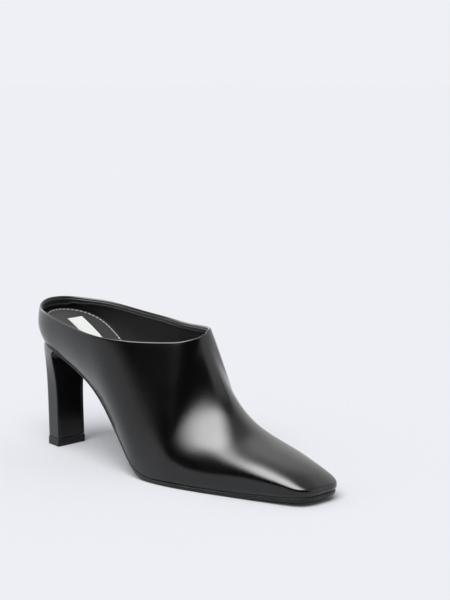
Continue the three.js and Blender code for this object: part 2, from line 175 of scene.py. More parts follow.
aim = wire(sky, "ShaderNodeTexCoord").outputs["Generated"]
aim_parts = wire(sky, "ShaderNodeSeparateXYZ", [aim])
aim_x, aim_y, aim_z = aim_parts.outputs
above = maths(sky, "MAXIMUM", aim_z, 0.001)
across = maths(sky, "DIVIDE", aim_x, above)
along = maths(sky, "DIVIDE", aim_y, above)
soft_box = maths(sky, "MULTIPLY", rise(sky, aim_z, 0.02, 0.06), SOFT_BOX_LIGHT)
for weight_across, weight_along, offset, soft_edge in SOFT_BOX_SIDES:
    inside = maths(sky, "ADD", maths(sky, "MULTIPLY", across, weight_across),
                   maths(sky, "MULTIPLY", along, weight_along))
    soft_box = maths(sky, "MULTIPLY", soft_box,
                     rise(sky, inside, -offset - soft_edge, -offset + soft_edge))

# The wall fades towards its foot on the left and meets the ceiling, with a dark slot between it
# and the soft box's stand on the right.
low_left = maths(sky, "MULTIPLY", rise(sky, aim_x, *WALL_LEFT), rise(sky, aim_z, *WALL_FOOT))
wall_tone = blend(sky, low_left, WALL_LIGHT, WALL_LOW_LIGHT)
ceiling_tone = blend(sky, rise(sky, across, *CEILING_LEFT), CEILING_LIGHT["middle"],
                     CEILING_LIGHT["left"])
wall_tone = blend(sky, rise(sky, aim_z, *CEILING_RISE), wall_tone, ceiling_tone)
from_slot = maths(sky, "ABSOLUTE", maths(sky, "SUBTRACT", across, SLOT_PLACE))
wall_tone = maths(sky, "MULTIPLY", wall_tone,
                  blend(sky, rise(sky, from_slot, *SLOT_EDGE), SLOT_LIGHT, 1.0))
wall_side = maths(sky, "ADD", maths(sky, "MULTIPLY", aim_x, WALL_SLANT["across"]),
                  maths(sky, "MULTIPLY", aim_z, WALL_SLANT["up"]))
wall_side = maths(sky, "ADD", wall_side, aim_y)
wall_light = maths(sky, "MULTIPLY", rise(sky, wall_side, *WALL_EDGE), wall_tone)

# The card stands low in front and higher towards its left end, where it faces the soft box.
card_top = maths(sky, "MULTIPLY", maths(sky, "SUBTRACT", aim_x, CARD_RISE_START), CARD_RISE)
card_top = maths(sky, "ADD", maths(sky, "MAXIMUM", card_top, 0.0), CARD_TOP)
under_card_top = maths(sky, "SUBTRACT", card_top, aim_z)
card = maths(sky, "MULTIPLY", rise(sky, aim_x, *CARD_SIDE),
             rise(sky, under_card_top, -CARD_TOP_SOFT, CARD_TOP_SOFT))
card_light = maths(sky, "MULTIPLY", card,
                   blend(sky, rise(sky, aim_x, *CARD_END), CARD_LIGHT, CARD_END_LIGHT))
room = maths(sky, "MAXIMUM", maths(sky, "MAXIMUM", wall_light, card_light), ROOM_LIGHT)
seen_in_gloss = maths(sky, "ADD", room, soft_box)
path = wire(sky, "ShaderNodeLightPath")
gloss_or_not = wire(sky, "ShaderNodeMix", {"Factor": path.outputs["Is Glossy Ray"],
                                           "A": AMBIENT, "B": seen_in_gloss})
dim = wire(sky, "ShaderNodeBackground", {"Color": (1, 1, 1, 1), "Strength": gloss_or_not.outputs[0]})
behind = wire(sky, "ShaderNodeBackground", {"Color": BACKDROP, "Strength": 1.0})
shown = wire(sky, "ShaderNodeMixShader", [path.outputs["Is Camera Ray"], dim.outputs[0],
                                          behind.outputs[0]])
wire(sky, "ShaderNodeOutputWorld", [shown.outputs[0]])

# ---- Upper ----
# Polished black calf, cut as one vamp with a closed seam at the back, lasted wet over the last
# and folded over at the topline. All other pieces take their shape from the same last, in
# millimetres from the heel's centre line at the floor.
WALL = 1.8
THROAT = 131.1
CROWN_ROUNDING = 0.16
BELLY_SHARE = 0.3
TOPLINE_BLEND = 8

LAST_COLUMNS = ("x", "lateral", "medial", "out", "up", "crown", "square", "drop", "soft")
LAST = [
    (-9.5, 0.0, 0.0, 3.8, 12, 14, 2.0, 0, 0),
    (-7.6, 8.8, 8.6, 3.8, 12, 14, 2.0, 0, 0),
    (-2.2, 15.9, 15.4, 4.1, 13, 15, 2.0, 0, 0),
    (8, 21.4, 20.8, 5.0, 17, 19, 2.0, 0, 0),
    (22, 23.7, 22.6, 7.4, 26, 26, 2.0, 0, 0),
    (45, 25.7, 22.6, 9.6, 36, 45, 2.0, 0, 1),
    (66, 28.2, 23.2, 8.6, 42, 66, 2.0, 0, 3),
    (84, 31.5, 25.4, 5.8, 34, 84, 1.78, 0, 6),
    (100, 34.7, 29.4, 3.3, 25, 100, 1.45, 0, 8),
    (114, 36.2, 33.2, 2.0, 17, 114, 1.22, 0, 8),
    (129, 36.2, 35.8, 1.7, 13, 129, 1.12, 0, 7),
    (144, 34.4, 36.2, 1.6, 9.5, 144, 1.18, 0, 6),
    (160, 31.3, 34.8, 1.5, 6.8, 160, 1.6, 1, 4),
    (176, 27.8, 31.2, 1.4, 5, 176, 2.5, 3.7, 1.8),
    (192, 24.4, 26.6, 1.3, 3.8, 190, 3.6, 5, 0.8),
    (206, 21.3, 22.2, 1.2, 3.0, 200, 4.4, 4.6, 0.3),
    (216, 18.8, 19.0, 1.1, 2.4, 205, 5.0, 3.2, 0),
    (223, 15.2, 15.2, 1.1, 2.0, 207, 5.2, 2, 0),
    (226.3, 8.6, 8.6, 1.1, 1.9, 207.8, 5.2, 1, 0),
    (226.8, 0.0, 0.0, 1.1, 1.9, 208, 5.2, 0.7, 0),
]
FEATHER = [
    (-25, 77.6), (-4, 72.4), (21, 65.9), (45, 56.4), (59, 48.0), (68.5, 40.0), (80, 28.4),
    (90.5, 17.4), (101, 7.6), (110, 3.8), (121, 3.0), (150, 3.0), (175, 3.5), (200, 4.7),
    (227, 6.4), (240, 7.3),
]
CROWN = [
    (-20, 122), (14, 124), (45, 129), (80, 131), (100, 128.5), (110, 124), (120, 115),
    (127, 103), (THROAT, 89.7), (132.6, 83.3), (135, 76), (140.9, 64), (149.4, 50.8),
    (161, 38.6), (175, 30.9),
    (190, 26.4), (205, 22), (216, 17.8), (227, 12.8), (240, 6.5),
]
TOPLINE_COLUMNS = ("x", "lateral", "medial")
TOPLINE = [
    (-30, 98.6, 98.6), (-12, 97.8, 97.8), (-4, 94.9, 96.4), (10, 93.1, 94.8), (22, 91.4, 93.1),
    (40, 88.6, 90.8), (60, 86.0, 89.2), (80, 84.6, 88.7), (100, 84.2, 89.8), (118, 84.9, 91.1),
    (126, 86.0, 91.5), (THROAT, 87.8, 91.6), (142, 92, 93),
]

# The frame's origin is the middle of the shoe, this file's is under the heel.
HEEL_LINE = np.array([-0.1073, 0.00015, 0])


def spline_through(knots, values):
    """A natural cubic through the values, read at any array of places."""
    knots = np.array(knots, float)
    values = np.array(values, float)
    gaps = np.diff(knots)
    slopes = np.diff(values) / gaps
    system = np.eye(len(knots))
    bends = np.zeros(len(knots))
    for i in range(1, len(knots) - 1):
        system[i, i - 1:i + 2] = gaps[i - 1], 2 * (gaps[i - 1] + gaps[i]), gaps[i]
        bends[i] = 6 * (slopes[i] - slopes[i - 1])
    bends = np.linalg.solve(system, bends)

    def read(at):
        i = np.clip(np.searchsorted(knots, at) - 1, 0, len(knots) - 2)
        a = (knots[i + 1] - at) / gaps[i]
        b = 1 - a
        sag = ((a ** 3 - a) * bends[i] + (b ** 3 - b) * bends[i + 1]) * gaps[i] ** 2 / 6
        return a * values[i] + b * values[i + 1] + sag
    return read


def soft_step(value):
    t = np.clip(value, 0, 1)
    return t * t * (3 - 2 * t)


feather_height = spline_through(*zip(*FEATHER))
crown_height = spline_through(*zip(*CROWN))
topline_rows = [dict(zip(TOPLINE_COLUMNS, row)) for row in TOPLINE]
topline = {side: spline_through([r["x"] for r in topline_rows], [r[side] for r in topline_rows])
           for side in ("lateral", "medial")}


def topline_height(x, y):
    medial_share = soft_step((y + TOPLINE_BLEND) / (2 * TOPLINE_BLEND))
    return topline["lateral"](x) * (1 - medial_share) + topline["medial"](x) * medial_share


LATERAL, MEDIAL = -1, 1
last_rows = [dict(zip(LAST_COLUMNS, row)) for row in LAST]
half_widths = [(r["lateral"] + r["medial"]) / 2 for r in last_rows]
outline_steps = [math.hypot(b["x"] - a["x"], wb - wa) for a, b, wa, wb in
                 zip(last_rows, last_rows[1:], half_widths, half_widths[1:])]
OUTLINE = sum(outline_steps)
section_places = np.concatenate([[0], np.cumsum(outline_steps)]) / OUTLINE


def along_side(side, read):
    """One column of the last along one side, carried on past both ends by the other side."""
    carried = range(1, 7)
    final = len(last_rows) - 1
    knots = [-section_places[i] for i in reversed(carried)] + list(section_places)
    knots += [2 - section_places[final - i] for i in carried]
    values = [read(last_rows[i], -side) for i in reversed(carried)]
    values += [read(row, side) for row in last_rows]
    values += [read(last_rows[final - i], -side) for i in carried]
    return spline_through(knots, values)


LAST_SIDES = {}
for side in (LATERAL, MEDIAL):
    LAST_SIDES[side] = {name: along_side(side, lambda row, _, name=name: row[name])
                        for name in ("x", "out", "up", "crown", "square", "drop", "soft")}
    LAST_SIDES[side]["y"] = along_side(
        side, lambda row, s: -row["lateral"] if s < 0 else row["medial"])
    LAST_SIDES[side]["middle"] = along_side(
        side, lambda row, _: (row["medial"] - row["lateral"]) / 2)


def last_surface(side, places, v):
    """Points of the last: places run from the back seam (0) to the toe (1), v from the feather
    edge (0) over the widest point (BELLY_SHARE) to the crown (1)."""
    t = np.asarray(places)[:, None]
    row = {name: read(t) for name, read in LAST_SIDES[side].items()}
    foot_z = feather_height(row["x"])
    away_x, away_y = row["x"] - row["crown"], row["y"] - row["middle"]
    away = np.hypot(away_x, away_y)
    belly_x = row["x"] + away_x / away * row["out"]
    belly_y = row["y"] + away_y / away * row["out"]
    belly_z = foot_z + row["up"]
    low = np.minimum(v / BELLY_SHARE, 1)
    swell = 1 - (1 - low) ** 2
    n = row["square"]
    angle = np.clip((v - BELLY_SHARE) / (1 - BELLY_SHARE), 0, 1) * math.pi / 2
    cosine, sine = np.clip(np.cos(angle), 0, 1), np.sin(angle)
    size = (cosine ** n + sine ** n) ** (1 / n)
    flat = CROWN_ROUNDING ** n
    spread = (cosine / size) ** n * ((1 + CROWN_ROUNDING ** 2) ** (n / 2) - flat)
    reach = np.sqrt(np.maximum((spread + flat) ** (2 / n) - CROWN_ROUNDING ** 2, 0))
    x = row["crown"] + (belly_x - row["crown"]) * reach
    y = row["middle"] + (belly_y - row["middle"]) * reach
    roof = crown_height(x) - row["drop"] * reach ** 2
    z = belly_z + (roof - belly_z) * sine / size
    under = v < BELLY_SHARE
    return np.stack([
        np.where(under, row["x"] + (belly_x - row["x"]) * swell, x),
        np.where(under, row["y"] + (belly_y - row["y"]) * swell, y),
        np.where(under, foot_z + row["up"] * low, z),
    ], axis=-1)


def run_along(line):
    """How far each point of a line lies from its start, along it."""
    return np.concatenate([[0], np.cumsum(np.linalg.norm(np.diff(line, axis=0), axis=1))])


def points_at(at, run, line):
    """Points at any places along a line, where run holds the places of its own points."""
    return np.stack([np.interp(at, run, line[:, k]) for k in range(line.shape[1])], axis=1)


FINE_POINTS, BELLY_POINTS = 1400, 400
CROWN_CROWDING = 2.2
PROFILE_POINTS = 700
FEATHER_HOLD = 7
CROWN_HOLD, CROWN_HOLD_SHARE = 4, 2.5


def softened(line, soft, step):
    """An evenly spaced line smoothed over about soft millimetres, held at both of its ends."""
    width = int(3 * soft / step)
    kernel = np.exp(-0.5 * (np.arange(-width, width + 1) * step / soft) ** 2)
    kernel /= kernel.sum()
    padded = np.pad(line, ((width, width), (0, 0)), mode="reflect", reflect_type="odd")
    smooth = np.stack([np.convolve(padded[:, k], kernel, "valid") for k in range(3)], axis=1)
    run = np.linspace(0, step * (len(line) - 1), len(line))
    hold = soft_step(run / FEATHER_HOLD)
    hold = hold * soft_step((run[-1] - run) / (CROWN_HOLD_SHARE * soft + CROWN_HOLD))
    return line + (smooth - line) * hold[:, None]


def profiles(side, places, count=PROFILE_POINTS):
    """The last's sections as evenly spaced points from the feather edge to the crown, with the
    shoulder at the widest point softened as the leather bridges it."""
    u = np.linspace(0, 1, FINE_POINTS)[BELLY_POINTS:]
    over_belly = 1 - (1 - BELLY_SHARE) * ((1 - u) / (1 - u[0])) ** CROWN_CROWDING
    v = np.concatenate([np.linspace(0, BELLY_SHARE, BELLY_POINTS, endpoint=False), over_belly])
    raw = last_surface(side, places, v[None, :])
    soft = np.maximum(LAST_SIDES[side]["soft"](np.asarray(places)), 0)
    result = np.empty((len(raw), count, 3))
    for i, points in enumerate(raw):
        run = run_along(points)
        even = np.linspace(0, run[-1], count)
        line = points_at(even, run, points)
        result[i] = softened(line, soft[i], even[1]) if soft[i] > 0.05 else line
    return result


def place_at(x):
    """The place on the last's outline where the feather edge passes x."""
    low, high = 0.0, 1.0
    for _ in range(40):
        middle = (low + high) / 2
        if LAST_SIDES[LATERAL]["x"](middle) > x:
            high = middle
        else:
            low = middle
    return high


def throat_place(level):
    """Where the crown line passes the topline moved up or down by level."""
    xs = np.linspace(110, 150, 4001)
    over = crown_height(xs) - topline_height(xs, 0 * xs) - level
    return place_at(xs[np.argmax(over < 0)])


def graded(length, first, last, widest, growth=0.2):
    """Places from 0 to length: fine at both ends and `widest` apart between them."""
    places = [0.0]
    while places[-1] < length:
        here = places[-1]
        step = min(first + growth * here, last + growth * max(length - here, 0), widest)
        places.append(here + step)
    return np.array(places) * (length / places[-1])


def wall_grids(level, rows, widest):
    """The wall from the feather edge up to the topline moved by level, or to the crown in front
    of the throat: one grid of points for each side."""
    turn = throat_place(level) * OUTLINE
    behind = graded(turn, 0.25, 0.1, widest) / OUTLINE
    ahead = (turn + graded(OUTLINE - turn, 0.3, 0.5, widest)) / OUTLINE
    places = np.concatenate([behind, ahead[1:]])
    grids = {}
    for side in (LATERAL, MEDIAL):
        lines = profiles(side, places)
        grid = np.empty((len(places), rows + 1, 3))
        for i, line in enumerate(lines):
            over = line[:, 2] - topline_height(line[:, 0], line[:, 1]) - level
            end = len(line) - 1.0
            if i < len(behind) - 1 and over.max() > 0:
                j = int(np.argmax(over > 0))
                end = j - over[j] / (over[j] - over[j - 1])
            grid[i] = points_at(np.linspace(0, end, rows + 1), np.arange(len(line)), line)
        grids[side] = grid
    grids[MEDIAL][len(behind) - 1:, -1] = grids[LATERAL][len(behind) - 1:, -1]
    grids[MEDIAL][0] = grids[LATERAL][0]
    grids[MEDIAL][-1] = grids[LATERAL][-1]
    return grids, len(behind)


def merged(sheets):
    """Joins grids of points at equal places: the points, and each grid as point numbers."""
    flat = np.concatenate([s.reshape(-1, 3) for s in sheets])
    _, first, number = np.unique(np.round(flat, 4), axis=0, return_index=True, return_inverse=True)
    number = number.reshape(-1)
    numbered, start = [], 0
    for sheet in sheets:
        size = sheet.shape[0] * sheet.shape[1]
        numbered.append(number[start:start + size].reshape(sheet.shape[:2]))
        start += size
    return flat[first], numbered


def quads(numbers, turned=False, closed=False):
    """The faces between neighbouring rows and columns of a grid of point numbers."""
    if closed:
        numbers = np.concatenate([numbers, numbers[:, :1]], axis=1)
    corners = (numbers[:-1, :-1], numbers[1:, :-1], numbers[1:, 1:], numbers[:-1, 1:])
    if turned:
        corners = corners[::-1]
    faces = np.stack(corners, axis=-1).reshape(-1, 4)
    return [list(dict.fromkeys(face)) for face in faces.tolist() if len(set(face)) > 2]


def point_normals(points, faces):
    """Each point's direction out of the faces round it."""
    normals = np.zeros_like(points)
    for face in faces:
        corners = points[face]
        if len(face) == 4:
            normal = np.cross(corners[2] - corners[0], corners[3] - corners[1])
        else:
            normal = np.cross(corners[1] - corners[0], corners[2] - corners[0])
        normals[face] += normal
    return normals / np.maximum(np.linalg.norm(normals, axis=1), 1e-12)[:, None]


def make_piece(name, points, faces, material):
    """A smooth-shaded piece of the shoe, from millimetres over the heel's centre line."""
    mesh = bpy.data.meshes.new(name)
    mesh.from_pydata((np.asarray(points) * 0.001 + HEEL_LINE).tolist(), [], faces)
    mesh.polygons.foreach_set("use_smooth", [True] * len(mesh.polygons))
    mesh.materials.append(material)
    mesh.update()
    piece = bpy.data.objects.new(name, mesh)
    scene.collection.objects.link(piece)
    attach(piece, "root")
    return piece


def shell(grids, inner_depth, outer_depth=0.0):
    """The two skins of a wall, at two depths under its surface, still open at their edges: the
    points and faces of both, the point numbers of both sides, and the points in one skin."""
    surface, (lateral, medial) = merged([grids[LATERAL], grids[MEDIAL]])
    outward = quads(lateral) + quads(medial, turned=True)
    normals = point_normals(surface, outward)
    count = len(surface)
    outer = surface - normals * outer_depth
    inner = surface - normals * inner_depth
    faces = list(outward) + [[p + count for p in reversed(face)] for face in outward]
    return [outer, inner], faces, lateral, medial, count


UPPER_ROWS, UPPER_STEP = 54, 1.5
upper_grids, throat_column = wall_grids(0, UPPER_ROWS, UPPER_STEP)
skins, upper_faces, lateral_net, medial_net, skin_size = shell(upper_grids, WALL)

# The back seam: a closed seam sinks a little, with the leather slightly full on both sides.
SEAM_WIDTH, SEAM_DEPTH = 0.55, 0.32
SEAM_SWELL = {"place": 1.5, "width": 0.8, "height": 0.10}
SEAM_REACH = 4
seam_distance = np.abs(skins[0][:, 1])
seam_zone = (skins[0][:, 0] < 0) & (seam_distance < SEAM_REACH)
seam = np.exp(-(seam_distance / SEAM_WIDTH) ** 2) * SEAM_DEPTH
beside_seam = (seam_distance - SEAM_SWELL["place"]) / SEAM_SWELL["width"]
seam -= np.exp(-beside_seam ** 2) * SEAM_SWELL["height"]
skins[0][:, 0] += np.where(seam_zone, seam, 0)

# The folded edge: a half-round bead from the outer skin to the inner one.
BEAD_STEPS = 7
BEAD_HEIGHT = 0.85
BEAD_LEAN = 0.3
rim = np.concatenate([lateral_net[:throat_column, -1][::-1], medial_net[1:throat_column, -1]])
below_rim = np.concatenate([lateral_net[:throat_column, -2][::-1], medial_net[1:throat_column, -2]])
rim, below_rim = rim[:-1], below_rim[:-1]
rise_way = skins[0][rim] - skins[0][below_rim]
rise_way[:, :2] *= BEAD_LEAN
rise_way /= np.linalg.norm(rise_way, axis=1)[:, None]
bead_rows = []
for step in range(1, BEAD_STEPS):
    turn = math.pi * step / BEAD_STEPS
    middle = (skins[0][rim] + skins[1][rim]) / 2
    half = (skins[0][rim] - skins[1][rim]) / 2
    bead_rows.append(middle + half * math.cos(turn) + rise_way * BEAD_HEIGHT * math.sin(turn))
bead_start = 2 * skin_size
rim_count = len(rim)
bead_net = [rim] + [bead_start + rim_count * i + np.arange(rim_count)
                    for i in range(len(bead_rows))] + [rim + skin_size]
upper_faces += quads(np.array(bead_net), closed=True)

# The lasting edge: the cut edge underneath, from the outer skin to the inner one.
foot = np.concatenate([lateral_net[:, 0], medial_net[::-1, 0][1:-1]])
upper_faces += quads(np.array([foot + skin_size, foot]), closed=True)
upper_points = np.concatenate(skins + bead_rows)


def shader_group(name, inputs, outputs):
    """A named node group with float inputs (with defaults) and typed outputs."""
    tree = bpy.data.node_groups.new(name, "ShaderNodeTree")
    for socket, default in inputs.items():
        made = tree.interface.new_socket(socket, in_out="INPUT", socket_type="NodeSocketFloat")
        made.default_value = default
    for socket, kind in outputs.items():
        tree.interface.new_socket(socket, in_out="OUTPUT", socket_type=kind)
    return tree, tree.nodes.new("NodeGroupInput"), tree.nodes.new("NodeGroupOutput")


# The grain of a finished skin: pores and the fine net between them, and a slow cloudiness from
# the polish. Size is the pore spacing in metres.
grain, grain_in, grain_out = shader_group(
    "skin_grain", {"Pore Size": 0.0006, "Cloud Size": 0.02},
    {"Height": "NodeSocketFloat", "Cloud": "NodeSocketFloat"})
grain_at = wire(grain, "ShaderNodeTexCoord").outputs["Object"]
pore_scale = maths(grain, "DIVIDE", 1.0, grain_in.outputs["Pore Size"])
cloud_scale = maths(grain, "DIVIDE", 1.0, grain_in.outputs["Cloud Size"])
pores = wire(grain, "ShaderNodeTexVoronoi", {"Vector": grain_at, "Scale": pore_scale},
             feature="DISTANCE_TO_EDGE")
fibres = wire(grain, "ShaderNodeTexNoise", {"Vector": grain_at, "Scale": pore_scale, "Detail": 3.0})
clouds = wire(grain, "ShaderNodeTexNoise", {"Vector": grain_at, "Scale": cloud_scale,
                                            "Detail": 2.0, "Roughness": 0.45})
net = rise(grain, pores.outputs["Distance"], 0.0, 0.18)
fibre_height = maths(grain, "MULTIPLY", fibres.outputs["Fac"], 0.6)
grain.links.new(maths(grain, "ADD", net, fibre_height), grain_out.inputs["Height"])
grain.links.new(clouds.outputs["Fac"], grain_out.inputs["Cloud"])


def toned(tree, share, dark, light):
    """A colour between two, by a share that changes over the surface."""
    colours = {"Factor": share, 6: (*dark, 1), 7: (*light, 1)}
    return wire(tree, "ShaderNodeMix", colours, data_type="RGBA").outputs[2]


def leather(name, dark, light, rough, pore, bump, shine=0.5):
    """Skin with a finish: colour and gloss vary with the cloudiness between two values each, and
    the pores, spaced pore metres apart, are bump."""
    material, tree, shader = new_material(name, Specular_IOR_Level=shine)
    skin = wire(tree, "ShaderNodeGroup", node_tree=grain)
    skin.inputs["Pore Size"].default_value = pore
    cloud = skin.outputs["Cloud"]
    tree.links.new(toned(tree, cloud, dark, light), shader.inputs["Base Color"])
    gloss = wire(tree, "ShaderNodeMapRange", {"Value": cloud, "From Min": 0.3, "From Max": 0.7,
                                              "To Min": rough[0], "To Max": rough[1]})
    tree.links.new(gloss.outputs["Result"], shader.inputs["Roughness"])
    relief = wire(tree, "ShaderNodeBump", {"Strength": bump, "Distance": 0.0001,
                                           "Height": skin.outputs["Height"]})
    tree.links.new(relief.outputs["Normal"], shader.inputs["Normal"])
    return material


polished_calf = leather("polished_black_calf", (0.0016, 0.0016, 0.0018), (0.0024, 0.0024, 0.0026),
                        rough=(0.15, 0.19), pore=0.00055, bump=0.08)
upper = make_piece("upper_leather", upper_points, upper_faces, polished_calf)
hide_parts("upper")

# ---- Lining and topline facing ----
# The lining is soft black kid, glued inside the wall. A strip of the upper's own leather faces
# it along the topline, and a deeper patch with stepped ends holds the heel at the back.
LINING_TOP = -0.9
LINING_DEPTH = (1.75, 2.0)
LINING_ROWS, LINING_STEP = 30, 2.4
lining_grids, lining_throat = wall_grids(LINING_TOP, LINING_ROWS, LINING_STEP)
lining_skins, lining_faces, lining_l, lining_m, lining_size = shell(
    lining_grids, LINING_DEPTH[1], LINING_DEPTH[0])
lining_rim = np.concatenate([lining_l[:lining_throat, -1][::-1], lining_m[1:lining_throat, -1]])[:-1]
lining_foot = np.concatenate([lining_l[:, 0], lining_m[::-1, 0][1:-1]])
lining_faces += quads(np.array([lining_rim, lining_rim + lining_size]), closed=True)
lining_faces += quads(np.array([lining_foot + lining_size, lining_foot]), closed=True)
kid = leather("black_kid_lining", (0.0012, 0.0012, 0.0013), (0.0020, 0.0020, 0.0021),
              rough=(0.42, 0.52), pore=0.0005, bump=0.2, shine=0.3)
make_piece("lining", np.concatenate(lining_skins), lining_faces, kid)

# The facing's and the patch's lower edges, below the topline. The patch ends in two soft steps:
# how far each reaches round, in patch halves, and its share of the patch's extra depth.
FACING_TOP = -0.35
FACING_DROP, PATCH_DROP = 3.3, 6.0
FACING_ROWS = 7
FACING_POINTS = 500
FACING_DEPTH = (1.9, 2.4)
FACING_EDGE = 0.25
PATCH_HALF, PATCH_RUN = 0.088, 0.030
PATCH_STEPS = ((1.0, 0.68), (1.9, 0.32))
COLLAR_MIDDLE = np.array([60, 0, 90])

facing_share = graded(1.0, 0.006, 0.0015, 1.6 / OUTLINE)
patch = sum(depth * soft_step((PATCH_HALF * reach - facing_share) / PATCH_RUN)
            for reach, depth in PATCH_STEPS)
facing_drop = FACING_DROP + (PATCH_DROP - FACING_DROP) * patch


def facing_level(row, drop):
    """Where a row of the facing lies from the topline, when the lower edge lies drop below it."""
    return FACING_TOP - (drop + FACING_TOP) * row / FACING_ROWS


def facing_loop():
    """The facing's rows of points on the last, once round the collar from the back seam."""
    sides = []
    for side in (LATERAL, MEDIAL):
        net = np.empty((len(facing_share), FACING_ROWS + 1, 3))
        for j in range(FACING_ROWS + 1):
            throat = throat_place(facing_level(j, FACING_DROP))
            lines = profiles(side, facing_share * throat, FACING_POINTS)
            for i, line in enumerate(lines):
                level = facing_level(j, facing_drop[i])
                over = line[:, 2] - topline_height(line[:, 0], line[:, 1]) - level
                if i == len(lines) - 1 or over.max() <= 0:
                    net[i, j] = line[-1]
                    continue
                k = int(np.argmax(over > 0))
                w = over[k] / (over[k] - over[k - 1])
                net[i, j] = line[k] * (1 - w) + line[k - 1] * w
        sides.append(net)
    sides[1][-1] = sides[0][-1]
    sides[1][0] = sides[0][0]
    return np.concatenate([sides[0], sides[1][::-1][1:-1]])


facing_net = facing_loop()
around = np.roll(facing_net, -1, axis=0) - np.roll(facing_net, 1, axis=0)
downward = np.gradient(facing_net, axis=1)
inward = np.cross(around, downward)
inward /= np.linalg.norm(inward, axis=2)[..., None]
if np.mean(np.sum(inward * (COLLAR_MIDDLE - facing_net), axis=2)) < 0:
    inward = -inward
proud = np.full(FACING_ROWS + 1, FACING_DEPTH[1])
proud[0] = proud[-1] = FACING_DEPTH[0] + FACING_EDGE
front_face = facing_net + inward * proud[None, :, None]
back_face = facing_net + inward * FACING_DEPTH[0]
facing_rows = np.concatenate([front_face, back_face[:, ::-1]], axis=1)
facing_points = facing_rows.reshape(-1, 3)
facing_numbers = np.arange(len(facing_points)).reshape(facing_rows.shape[:2])
facing_numbers = np.concatenate([facing_numbers, facing_numbers[:1]])
facing_faces = quads(facing_numbers, closed=True)
facing_calf = leather("facing_calf", (0.005, 0.005, 0.0054), (0.008, 0.008, 0.0085),
                      rough=(0.34, 0.42), pore=0.0006, bump=0.3)
make_piece("topline_facing", facing_points, facing_faces, facing_calf)

# ---- Facing's stitching ----
# A fine grey thread sews the facing and the patch to the lining, just above their lower edge, in
# a single row of short machine stitches.
FACING_STITCH = {"row": 5, "length": 1.5, "gap": 0.6, "thick": 0.17}


LOOK_AHEAD = 0.4


def walk(path, spacing):
    """Evenly spaced points and directions along an open path, about spacing apart."""
    run = run_along(path)
    count = int(run[-1] // spacing)
    at = (np.arange(count) + 0.5) * run[-1] / count
    places = points_at(at, run, path)
    ways = points_at(at + LOOK_AHEAD, run, path) - places
    return places, ways / np.maximum(np.linalg.norm(ways, axis=1), 1e-9)[:, None]


# A stitch's rings: the place along it and the share of its full thickness. Its ends dip.
STITCH_RINGS = ((-0.5, 0.25), (-0.42, 0.75), (-0.2, 1.0), (0.2, 1.0), (0.42, 0.75), (0.5, 0.25))
STITCH_SIDES = 6
STITCH_DIP = 0.8


def stitch_row(places, ways, ups, length, thick):
    """Separate thread stitches as small capsules, each along its own direction."""
    turn = np.arange(STITCH_SIDES) * 2 * math.pi / STITCH_SIDES
    points, faces = [], []
    for place, way, up in zip(places, ways, ups):
        across_way = np.cross(way, up)
        across_way /= np.linalg.norm(across_way)
        over = np.cross(across_way, way)
        start = len(points)
        for shift, fat in STITCH_RINGS:
            dip = -abs(shift) * thick * STITCH_DIP
            for a in turn:
                points.append(place + way * shift * length + over * (math.sin(a) * thick * fat + dip)
                              + across_way * math.cos(a) * thick * fat)
        net = start + np.arange(len(STITCH_RINGS) * STITCH_SIDES).reshape(-1, STITCH_SIDES)
        for ring, next_ring in zip(net, net[1:]):
            for k in range(STITCH_SIDES):
                after = (k + 1) % STITCH_SIDES
                faces.append([int(p) for p in (ring[k], ring[after], next_ring[after], next_ring[k])])
        faces.append(net[0][::-1].tolist())
        faces.append(net[-1].tolist())
    return np.array(points), faces


def spun_thread(name, dark, light):
    """Waxed thread, lighter where its plies catch the light."""
    material, tree, shader = new_material(name, Roughness=0.65)
    plies = wire(tree, "ShaderNodeTexNoise", {"Scale": 900.0, "Detail": 2.0})
    tree.links.new(toned(tree, plies.outputs["Fac"], dark, light), shader.inputs["Base Color"])
    return material


seam_rows = np.concatenate([front_face, inward], axis=2)[:, FACING_STITCH["row"]]
seam_rows = np.concatenate([seam_rows, seam_rows[:1]])
facing_at, _ = walk(seam_rows, FACING_STITCH["length"] + FACING_STITCH["gap"])
facing_way = np.roll(facing_at[:, :3], -1, axis=0) - np.roll(facing_at[:, :3], 1, axis=0)
facing_way /= np.linalg.norm(facing_way, axis=1)[:, None]
grey_thread = spun_thread("grey_thread", (0.17, 0.17, 0.17), (0.30, 0.30, 0.30))
facing_stitch_points, facing_stitch_faces = stitch_row(
    facing_at[:, :3], facing_way, facing_at[:, 3:], FACING_STITCH["length"], FACING_STITCH["thick"])
make_piece("facing_stitching", facing_stitch_points, facing_stitch_faces, grey_thread)

# ---- Sock, pad and stitching ----
# An insole board covered in black kid, a little dished at the heel, rolled at its edge and
# running on to the toe. A thin grey leather pad lies on it, sewn down with white thread.
BOARD_THICKNESS = 2.8
BOARD_FOOT, BOARD_FOOT_INSET = 0.3, 2.0
SEAT_PAD = 16.3
PAD_BACK, PAD_RUN = -6, 70
SOCK_DISH = 0.9
DISH_BACK, DISH_BACK_RUN = -8, 22
DISH_FRONT, DISH_FRONT_RUN = 120, 50
SOCK_ROLL = ((0.0, -0.95), (0.22, -0.38), (0.65, -0.09), (1.3, 0.0))
STITCH_INSET = 3.6
STITCH_LENGTH = 2.2
STITCH_GAP = 0.75
STITCH_THICK = 0.27
STITCH_END = 118
STITCH_LIFT = 0.08


def board_thickness(x):
    return SEAT_PAD + (BOARD_THICKNESS - SEAT_PAD) * soft_step((x - PAD_BACK) / PAD_RUN)


